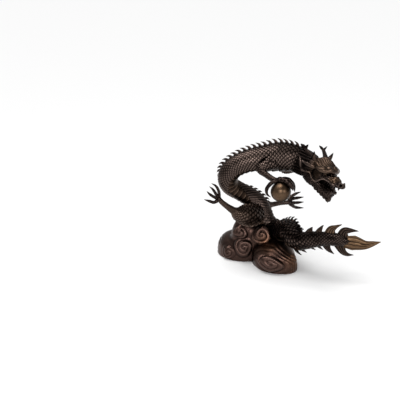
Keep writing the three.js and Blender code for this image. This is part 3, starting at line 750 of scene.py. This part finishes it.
def loft(sections):
    """A round form along x through its sections: x, middle z, half width and half height."""
    rows = np.array(sections, float)
    fine = through(rows, np.linspace(0, len(rows) - 1, (len(rows) - 1) * LOFT_STEPS + 1))
    x, middle, width, height = fine.T

    def distance(px, py, pz):
        z, w, h = (np.interp(px, x, column) for column in (middle, width, height))
        ring = (np.sqrt((py / w) ** 2 + ((pz - z) / h) ** 2) - 1) * np.minimum(w, h)
        return np.maximum(ring, np.maximum(x[0] - px, px - x[-1]))

    low = (x[0], -width.max(), (middle - height).min())
    return low, (x[-1], width.max(), (middle + height).max()), distance


def turned(points, side):
    """The points on one side of the head, where side is -1 for the near cheek and 1 for the far one."""
    return [(p[0], p[1] * side, *p[2:]) for p in points]


def on_side(form, side):
    """A ball, given as a middle and a size, or a line of points, on one side of the head."""
    if isinstance(form, list):
        return strand(turned(form, side))
    at, size = form
    return ball((at[0], at[1] * side, at[2]), size)


def fade_in(value, start, length):
    return np.clip((value - start) / length, 0, 1)


def fade_out(value, end, length):
    return np.clip((end - value) / length, 0, 1)


def lock(clay, root, tip, radius, spread, wave):
    """A lock of hair: strands side by side that run together at its tip."""
    root, tip = np.array(root, float), np.array(tip, float)
    run = tip - root
    beside = unit(np.cross(run, LOCK_SIDE))
    out = unit(np.cross(beside, run))
    for place in np.linspace(-1, 1, LOCK_STRANDS):
        points = []
        for share, thick, apart in LOCK_FORM:
            sway = wave * np.sin(share * LOCK_WAVES) * out
            spot = root + share * run + place * spread * apart * beside + sway
            points.append((*spot, radius * thick))
        clay.press(strand(points), blend=0.6)


def face(clay, side):
    """One side of the face: what FACE lists, the lip's ring, the jaw's rim and the teeth."""
    for sign, form, blend in FACE:
        clay.press(on_side(form, side), blend, sign)
    facing = unit(np.array(RING_FACING) * (1, side, 1))
    across = unit(np.cross(facing, (0, 0, 1)))
    up = np.cross(facing, across)
    middle = np.array(RING_AT) * (1, side, 1)
    turns = np.linspace(0, 2 * np.pi, RING_POINTS)
    ring = [(*(middle + RING_RADIUS * (np.cos(t) * across + np.sin(t) * up)), RING_THICK) for t in turns]
    clay.press(strand(ring), blend=0.6)
    clay.press(ball(middle + HOLLOW_OUT * facing, HOLLOW_RADIUS), blend=0.5, sign=CUT)
    clay.press(on_side(JAW_RIM, side), blend=1)
    for i in range(TEETH):
        x = TOOTH_FROM + TOOTH_PITCH * i
        for closing, root, tip, lean in TOOTH_ROWS:
            y = (TOOTH_OUT - closing * i) * side
            clay.press(strand([(x, y, root, TOOTH_ROOT), (x + lean, y, tip, TOOTH_TIP)], 1), blend=0.4)


def whisker(side):
    return [*WHISKER, *WHISKER_TRAIL] if side < 0 else WHISKER


def hair(clay, side):
    """Horns, ears, whiskers, mane and beard of one side."""
    clay.press(on_side(HORN_STEM, side), blend=1.5)
    girth = 1 if side < 0 else FAR_PRONG_GIRTH
    for prong in HORN_PRONGS:
        points = [(*p[:3], p[3] * girth) for p in (HORN_STEM[-1], *prong)]
        clay.press(on_side(points, side), blend=1)
    clay.press(on_side(SPUR, side), blend=1.2)
    for rib in EAR_RIBS:
        clay.press(on_side(rib, side), blend=0.6)
    for angle in np.radians(np.linspace(*(NEAR_MANE if side < 0 else FAR_MANE), MANE_LOCKS)):
        way = np.array([0, side * np.sin(angle), np.cos(angle)])
        lock(clay, MANE_ROOT + MANE_ROOT_RADIUS * way, MANE_TIP + MANE_TIP_RADIUS * way, *MANE_LOCK)
    spots, crests, sides = spine.read(np.array(RUFF_ALONG))
    reach = spine.radius(np.array(RUFF_ALONG)) + RUFF_LIFT
    for angle in np.radians(np.linspace(*RUFF_ANGLES, RUFF_LOCKS)):
        places = spots + reach[:, None] * (crests * np.cos(angle) + side * sides * np.sin(angle))
        lock(clay, *((places - HEAD_AT) @ head_turn()), *RUFF_LOCK)
    for i in range(BEARD_LOCKS):
        root = (np.array(BEARD_FROM) + i * np.array(BEARD_STEP)) * (1, side, 1)
        lock(clay, root, root + BEARD_FALL, *BEARD_LOCK)
    clay.press(on_side(whisker(side), side), blend=0.6)


def furrows(x, y, z):
    wave = 1 - np.cos(2 * np.pi * (y + FURROW_SWAY * np.sin(FURROW_BEND * x)) / FURROW_PITCH)
    shown = fade_in(z, *FURROWS_UP) * fade_in(x, *FURROWS_FROM) * fade_out(x, *FURROWS_TO)
    return FURROW_DEPTH * wave * shown


def wrinkles(x, y, z):
    bent = x - WRINKLE_BOX[0][0] + WRINKLE_BEND * y * y
    return WRINKLE_DEPTH * (1 - np.cos(2 * np.pi * bent / WRINKLE_PITCH)) * np.ones_like(z)


def curls(x, y, z):
    across = np.sin(2 * np.pi * (x + CURL_SWAY * np.sin(CURL_BENDS[0] * z)) / CURL_PITCH)
    down = np.sin(2 * np.pi * (z + CURL_SWAY * np.sin(CURL_BENDS[1] * x)) / CURL_PITCH)
    return CURL_DEPTH * (1 + across * down) * fade_out(z, *CURLS_BELOW) * np.ones_like(y)


def head_clay():
    clay = Clay(HEAD_BOX, HEAD_CELL)
    clay.press(loft(UPPER_HEAD), blend=1)
    clay.carve(*FURROW_BOX, furrows)
    clay.carve(*WRINKLE_BOX, wrinkles)
    clay.press(loft(LOWER_JAW), blend=3)
    clay.press(strand(CHIN), blend=2)
    clay.carve(*CURL_BOX, curls)
    clay.press(ball(*MOUTH_INSIDE), blend=2)
    clay.press(ball(*NOSE), blend=2)
    for side in (-1, 1):
        face(clay, side)
        hair(clay, side)
    clay.press(strand(FANG), blend=0.5)
    return clay


def head_tone(x, _, z):
    """How golden the head is; on the nose this is partly a painted highlight."""
    return np.maximum.reduce([
        gold * (fade_in(x, *back) * fade_out(x, *front) * fade_in(z, *low))
        for gold, back, front, low in HEAD_GOLD
    ])


def head_relief(*spot):
    """How rubbed the head is, with painted shade in the mouth's corners and the lip rings' hollows, and
    painted highlights on the brow, its knobs and the nose.
    """
    x, _, z = spot
    relief = np.full(len(x), HEAD_RELIEF)
    # Rubbed patches; on the nose this is partly a painted highlight
    for back, front, low, high, value in RUBBED_AND_PAINTED_HIGHLIGHT:
        relief[(x > back) & (x < front) & (z > low) & (z < high)] = value

    def gap(form, side):
        return on_side(form, side)[2](*spot)

    for side in (-1, 1):
        # Rubbed lines; on the brow this is partly a painted highlight
        for line, value in ((whisker(side), WHISKER_RELIEF), *RUBBED_AND_HIGHLIGHT_LINES):
            relief[gap(line, side) < LINE_NEAR] = value
        # Painted shade: the mouth's corners are painted as dark as a hollow
        relief[(gap(MOUTH_CORNER, side) < BALL_NEAR) & (relief < SPARED_FROM)] = 0
        # Painted highlight on the brow knobs, partly rubbing too
        relief[(gap(BROW_KNOB, side) < BALL_NEAR) & (z > KNOB_FROM)] = KNOB_RELIEF
        # Painted shade in the hollow of the lip's ring
        relief[gap((RING_AT, RING_RADIUS - RING_INSET), side) < 0] = 0
    return relief


def turn(degrees, a, b):
    """A turn from axis a towards axis b."""
    cos, sin = np.cos(np.radians(degrees)), np.sin(np.radians(degrees))
    made = np.eye(3)
    made[a, a], made[b, b], made[b, a], made[a, b] = cos, cos, sin, -sin
    return made


def head_turn():
    return turn(-HEAD_YAW, 0, 1) @ turn(HEAD_PITCH, 2, 0) @ turn(-HEAD_ROLL, 1, 2)


def dragon():
    tail_from = TAIL_SCALES_FROM * spine.length
    body = scaled_skin("dragon", spine, BODY_SCALES, BODY_SCALED, BODY_SHADE, 0, tail_from)
    tail = scaled_skin("tail", spine, TAIL_SCALES, BODY_SCALED, TAIL_SHADE, tail_from - SCALES_OVERLAP)
    legs, lobes = (leg(**made) for made in LEGS), (fin_lobe(*made) for made in FIN_LOBES)
    joined([body, tail, *crest(), *legs, *lobes])
    combine(body, crease(), "DIFFERENCE")
    combine(body, head_clay().object("head", head_turn(), HEAD_AT, head_tone, head_relief))
    room = ball_object("pearl_room", PEARL_AT, PEARL_RADIUS + GAP, columns=48, rows=24)
    return combine(body, room, "DIFFERENCE")


def boulder(at, size, height, turn):
    cos, sin = np.cos(np.radians(turn)), np.sin(np.radians(turn))

    def distance(x, y, z):
        across, away = (x - at[0]) * cos + (y - at[1]) * sin, (y - at[1]) * cos - (x - at[0]) * sin
        reach = np.sqrt((across / size[0]) ** 2 + (away / size[1]) ** 2)
        shape = (reach ** BOULDER_POWER + np.abs(z / height) ** BOULDER_POWER) ** (1 / BOULDER_POWER)
        return (shape - 1) * min(*size, height)

    wide, low = max(size), PLINTH_BOX[0][2]
    return (at[0] - wide, at[1] - wide, low), (at[0] + wide, at[1] + wide, height), distance


def bands(angle):
    """Rounded bands with a sharp groove between them: 1 in a groove, 0 on a band."""
    return 1 - np.abs(np.sin(angle)) ** BAND_SHARP


def banding(at, size, facing, turns, point):
    """Reads a scroll's own place: how far out of its middle, how far in front, and the depth of its bands."""
    out = unit(np.array(facing, float))
    across = unit(np.cross((0, 0, 1), out))
    up = np.cross(out, across)

    def read(*spot):
        a, b, c = (sum((p - o) * d for p, o, d in zip(spot, at, axis)) for axis in (across, up, out))
        a, b = a / size[0], b / size[1]
        b = (b + POINT_SLANT * point * a) * (1 + point * np.clip(a, 0, POINT_TO))
        angle = np.arctan2(b, a)
        reach = np.sqrt(a ** 2 + b ** 2) * (1 + SCROLL_WAVER * np.sin(SCROLL_WAVES * angle + at[0]))
        return reach, c, bands(np.pi * (turns * reach + angle / (2 * np.pi)))

    return read


def scroll(at, size, *shape):
    """A low dome that faces outwards, with bands that roll in to its middle."""
    read = banding(at, size, *shape)

    def distance(*spot):
        reach, front, groove = read(*spot)
        near = np.sqrt(reach ** 2 + (front / SCROLL_DEPTH) ** 2)
        return (near - 1) * SCROLL_DEPTH + SCROLL_BAND * groove

    wide = SCROLL_MARGIN * max(*size, SCROLL_DEPTH)
    return np.array(at) - wide, np.array(at) + wide, distance


def ripples(clay, starts, at, size, facing, turns, point, fades):
    """Bands that ripple on round a scroll, over the boulders, and fade."""
    read = banding(at, size, facing, turns, point)

    def depth(*spot):
        reach, front, groove = read(*spot)
        shown = fade_out(reach, fades, RIPPLE_OUT) * fade_in(reach, starts, RIPPLE_IN)
        return RIPPLE * groove * shown * fade_out(np.abs(front), RIPPLE_DEEP * SCROLL_DEPTH, SCROLL_DEPTH)

    wide = fades * max(size)
    clay.carve(np.array(at) - wide, np.array(at) + wide, depth)


def flutes(clay, at, size, height):
    """Upright flutes round the front and right of a boulder."""
    def depth(x, y, z):
        angle = np.arctan2(y - at[1], x - at[0])
        shown = fade_in(angle, FLUTES_FROM, FLUTE_FADE) * fade_out(angle, FLUTES_TO, FLUTE_FADE)
        return FLUTE_DEPTH * bands(FLUTES / 2 * angle) * shown * fade_out(z, height, FLUTE_TOP)

    wide = max(size) + FLUTE_MARGIN
    clay.carve((at[0] - wide, at[1] - wide, 0), (at[0] + wide, at[1] + wide, height), depth)


def plinth_tone(*spot):
    """How red the plinth is."""
    spots = np.stack(spot, axis=1)
    red = [np.exp(-(((spots - at) ** 2).sum(1) / size ** 2)) for at, size in RED_SPOTS]
    return RED_MOST * np.maximum.reduce(red)


def cloud_plinth():
    clay = Clay(PLINTH_BOX, PLINTH_CELL)
    for made in BOULDERS:
        clay.press(boulder(*made), blend=5)
    flutes(clay, *BOULDERS[CORNER_BOULDER][:-1])
    for made in SCROLLS:
        ripples(clay, RIPPLES_FROM, *made)
    for made in PLAIN_SCROLLS:
        ripples(clay, CARVED_FROM, *made)
    for made in SCROLLS:
        clay.press(scroll(*made[:-1]), blend=1)
    lying = zip(spine.spots[::BODY_STEP], spine.radii[::BODY_STEP] + BODY_ROOM)
    clay.press(strand([(*p, radius) for p, radius in lying], 1), blend=0.5, sign=CUT)
    for made in (NEAR_HIND_LEG, FAR_HIND_LEG):
        clay.press(strand([(*p[:3], p[3] + LEG_ROOM) for p in made["line"]]), blend=0.5, sign=CUT)
    spans, (_, _, z) = clay.window(*PLINTH_BOX, 0)
    clay.field[spans] = np.maximum(clay.field[spans], -z)
    return clay.object("cloud_plinth", np.eye(3), (0, 0, 0), plinth_tone, lambda *spot: PLINTH_RELIEF)


def pearl():
    """The pearl, with painted light on the side towards the lamps at the front left and painted shade on its
    far side.
    """
    made = ball_object("pearl", PEARL_AT, PEARL_RADIUS, columns=96, rows=48)
    spots = read_points(made.data.vertices, "co", 3) / METRES - PEARL_AT
    # Painted light and shade: lighter where the surface faces the lit side, darker away from it
    relief = 0.5 + 0.5 * (unit(spots) @ unit(np.array(PEARL_LIT_SIDE, float)))
    made.data.attributes["relief"].data.foreach_set("value", relief.astype(np.float32))
    return made


def finish_mesh(piece):
    """Smooth faces with crisp edges, and how worn each point is: 0 in a hollow, 1 on a ridge, with the painted
    light and shade that relief carries.
    """
    mesh = piece.data
    mesh.polygons.foreach_set("use_smooth", np.ones(len(mesh.polygons), bool))
    mesh.set_sharp_from_angle(angle=np.radians(SHARP_FROM))
    count = len(mesh.vertices)
    spots, normals = read_points(mesh.vertices, "co", 3), read_points(mesh.vertex_normals, "vector", 3)
    ends = np.zeros(len(mesh.edges) * 2, int)
    mesh.edges.foreach_get("vertices", ends)
    a, b = ends.reshape(-1, 2).T
    run = spots[b] - spots[a]
    run = run / np.maximum(np.linalg.norm(run, axis=1, keepdims=True), 1e-9)
    tally = np.bincount(a, minlength=count) + np.bincount(b, minlength=count)

    def spread(to_a, to_b):
        return (np.bincount(a, to_a, count) + np.bincount(b, to_b, count)) / np.maximum(tally, 1)

    rise = -spread((normals[a] * run).sum(1), -(normals[b] * run).sum(1))
    rise = 0.5 * rise + 0.5 * spread(rise[b], rise[a])
    relief = read_points(mesh.attributes["relief"].data, "value", 1)[:, 0]
    # Wear from how the edges rise, on top of relief, which in places is painted light and shade
    wear_and_painted_light = np.clip(relief + RIDGE_WEAR * rise, 0, 1)
    mesh.attributes.new("wear_and_painted_light", "FLOAT", "POINT").data.foreach_set("value", wear_and_painted_light.astype(np.float32))


def bronze(name, hollow, middle, ridge, golden, roughness):
    """Patinated bronze: dark in hollows, rubbed on ridges, with the painted light and shade that the mesh
    carries, golden where tone says so, and mottled.
    """
    made = bpy.data.materials.new(name)
    made.use_nodes = True
    nodes, links = made.node_tree.nodes, made.node_tree.links
    shader = nodes["Principled BSDF"]
    shader.inputs["Metallic"].default_value = 1.0
    place = nodes.new("ShaderNodeTexCoord")

    def attribute(label):
        node = nodes.new("ShaderNodeAttribute")
        node.attribute_name = label
        return node.outputs["Fac"]

    def noise(scale, detail):
        node = nodes.new("ShaderNodeTexNoise")
        node.inputs["Scale"].default_value = scale
        node.inputs["Detail"].default_value = detail
        links.new(place.outputs["Object"], node.inputs["Vector"])
        return node.outputs["Fac"]

    def ramp(source, stops):
        node = nodes.new("ShaderNodeValToRGB")
        marks = node.color_ramp.elements
        while len(marks) < len(stops):
            marks.new(0.5)
        for mark, (position, colour) in zip(marks, stops):
            mark.position, mark.color = position, (*colour, 1)
        links.new(source, node.inputs["Fac"])
        return node.outputs["Color"]

    def mix(share, first, second, kind="MIX"):
        node = nodes.new("ShaderNodeMix")
        node.data_type, node.blend_type = "RGBA", kind
        sockets = node.inputs["Factor"], node.inputs[MIX_FIRST], node.inputs[MIX_SECOND]
        for socket, source in zip(sockets, (share, first, second)):
            if isinstance(source, bpy.types.NodeSocket):
                links.new(source, socket)
            else:
                socket.default_value = source
        return node.outputs[MIX_RESULT]

    def greys(*stops):
        return [(position, (value,) * 3) for position, value in stops]

    bright = [GOLDEN_RIDGE * part for part in golden]
    patina = ramp(attribute("wear_and_painted_light"), list(zip(PATINA_STOPS, (hollow, middle, ridge))))
    gilded = ramp(attribute("wear_and_painted_light"), list(zip(GOLDEN_STOPS, (hollow, golden, bright))))
    tinted = mix(attribute("tone"), patina, gilded)
    mottle = ramp(noise(scale=26, detail=5), greys((0.3, 0.72), (0.7, 1.25)))
    grain = ramp(noise(scale=420, detail=3), greys((0.3, 0.8), (0.75, 1.15)))
    colour = mix(1.0, mix(1.0, tinted, mottle, "MULTIPLY"), grain, "MULTIPLY")
    links.new(colour, shader.inputs["Base Color"])
    shine = ramp(noise(scale=60, detail=4), greys((0.3, roughness - 0.08), (0.7, roughness + 0.12)))
    links.new(shine, shader.inputs["Roughness"])
    bump = nodes.new("ShaderNodeBump")
    bump.inputs["Strength"].default_value = 0.18
    bump.inputs["Distance"].default_value = 0.0006
    links.new(noise(scale=700, detail=4), bump.inputs["Height"])
    links.new(bump.outputs["Normal"], shader.inputs["Normal"])
    return made


def floor():
    mesh = bpy.data.meshes.new("floor")
    far, low = 30.0, -0.0003
    corners = [(-far, -far, low), (far, -far, low), (far, far, low), (-far, far, low)]
    mesh.from_pydata(corners, [], [(0, 1, 2, 3)])
    made = bpy.data.objects.new("floor", mesh)
    bpy.context.scene.collection.objects.link(made)
    paper = bpy.data.materials.new("pale_paper")
    paper.use_nodes = True
    shader = paper.node_tree.nodes["Principled BSDF"]
    shader.inputs["Base Color"].default_value = (0.9, 0.9, 0.9, 1)
    shader.inputs["Roughness"].default_value = 0.9
    mesh.materials.append(paper)


def softbox(name, at, size, power):
    """A square light that faces the middle of the sculpture."""
    lamp = bpy.data.lights.new(name, "AREA")
    lamp.energy, lamp.size = power, size
    made = bpy.data.objects.new(name, lamp)
    made.location = at
    middle = Vector((0.06, -0.03, 0.14))
    made.rotation_mode = "QUATERNION"
    made.rotation_quaternion = (middle - made.location).to_track_quat("-Z", "Y")
    bpy.context.scene.collection.objects.link(made)


def studio():
    scene = bpy.context.scene
    scene.view_settings.view_transform = "Standard"
    scene.world = bpy.data.worlds.new("studio")
    scene.world.use_nodes = True
    sky = scene.world.node_tree.nodes["Background"]
    sky.inputs["Color"].default_value = (1, 1, 1, 1)
    sky.inputs["Strength"].default_value = 0.36
    softbox("key", (-0.15, -1.5, 0.85), size=0.5, power=9.2)
    softbox("fill", (0.9, -1.2, 0.7), size=0.5, power=5)
    overhead = bpy.data.lights.new("overhead", "SUN")
    overhead.energy, overhead.angle = 2.35, np.radians(42)
    lamp = bpy.data.objects.new("overhead", overhead)
    lamp.rotation_euler = np.radians((-2, -13, 0))
    scene.collection.objects.link(lamp)
    lens = bpy.data.cameras.new("camera")
    lens.lens, lens.sensor_width = 70, 36
    camera = bpy.data.objects.new("camera", lens)
    camera.location = (-0.112, -1.4618, 0.6640)
    camera.rotation_euler = (np.radians(70), 0, 0)
    scene.collection.objects.link(camera)
    scene.camera = camera


def dress(piece, node, slot):
    finish_mesh(piece)
    piece.data.materials.clear()
    piece.data.materials.append(bronze(slot, *BRONZES[slot]))
    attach(piece, "root")
    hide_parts(node)


floor()
studio()
dress(dragon(), "dragon", "dragon_bronze")
dress(pearl(), "pearl", "pearl_bronze")
dress(cloud_plinth(), "cloud_plinth", "plinth_bronze")
